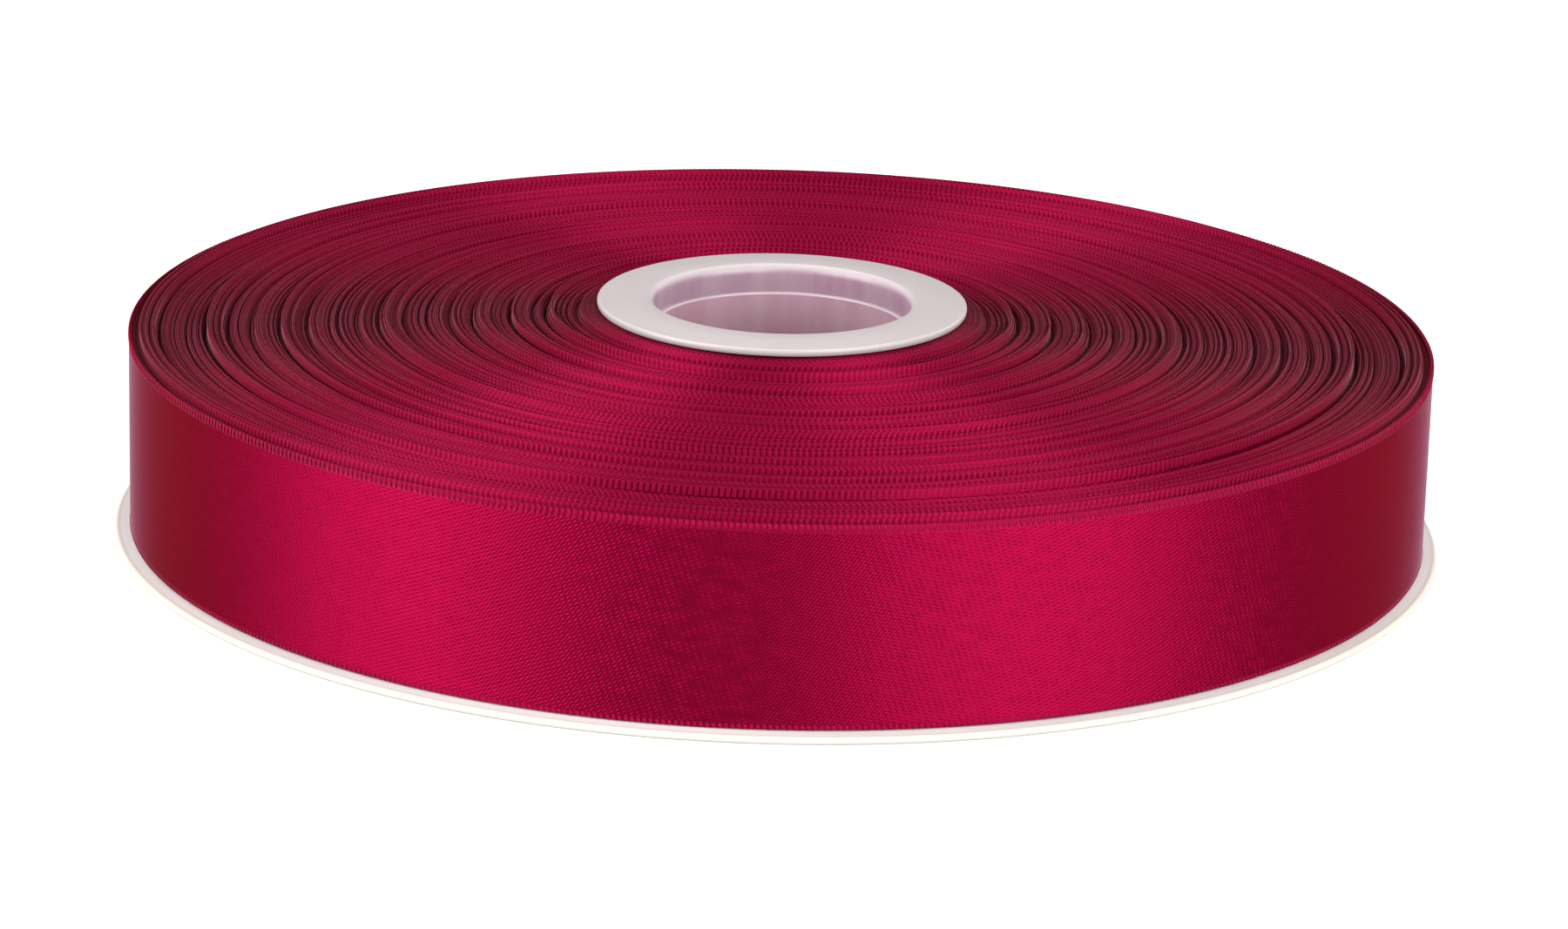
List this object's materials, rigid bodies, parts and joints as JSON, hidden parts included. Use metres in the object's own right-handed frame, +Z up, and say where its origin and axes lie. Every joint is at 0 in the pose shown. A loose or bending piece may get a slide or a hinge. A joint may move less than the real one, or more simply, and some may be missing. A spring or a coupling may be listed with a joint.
{
  "type": "ribbon spool",
  "caption": "Flat round roll of wide satin ribbon wound on a hollow core, with one wide base disc, a hub collar at each end and a taped-down free end.",
  "frame": {"origin": "centre of the base, on the surface that the spool lies on", "axes": "+Z up along the hub's axis, +Y to the back, where the ribbon's free end is taped down"},
  "size_m": [0.1696, 0.1696, 0.0303],
  "materials": {
    "satin_ribbon": "satin weave with stitched selvages",
    "collar_plastic": "milky, slightly translucent",
    "disc_plastic": "smooth white",
    "core_board": "smooth",
    "clear_tape": "clear, thin"
  },
  "bodies": {
    "spool": {"core_tube": "core_board", "bottom_collar": "collar_plastic", "bottom_disc": "disc_plastic", "core_tape": "clear_tape", "ribbon_roll": "satin_ribbon"},
    "collar": {"top_collar": "collar_plastic"},
    "tail": {"ribbon_tail": "satin_ribbon", "tail_tape": "clear_tape"}
  },
  "joints": [
    {"name": "tail_peel", "type": "hinge", "parent": "spool", "child": "tail", "pos_m": [0.02163, 0.08074, 0.0135], "axis": [0, 0, -1], "range_deg": [0, 110]},
    {"name": "collar_lift", "type": "slide", "parent": "spool", "child": "collar", "axis": [0, 0, 1], "range_m": [0, 0.035]}
  ]
}
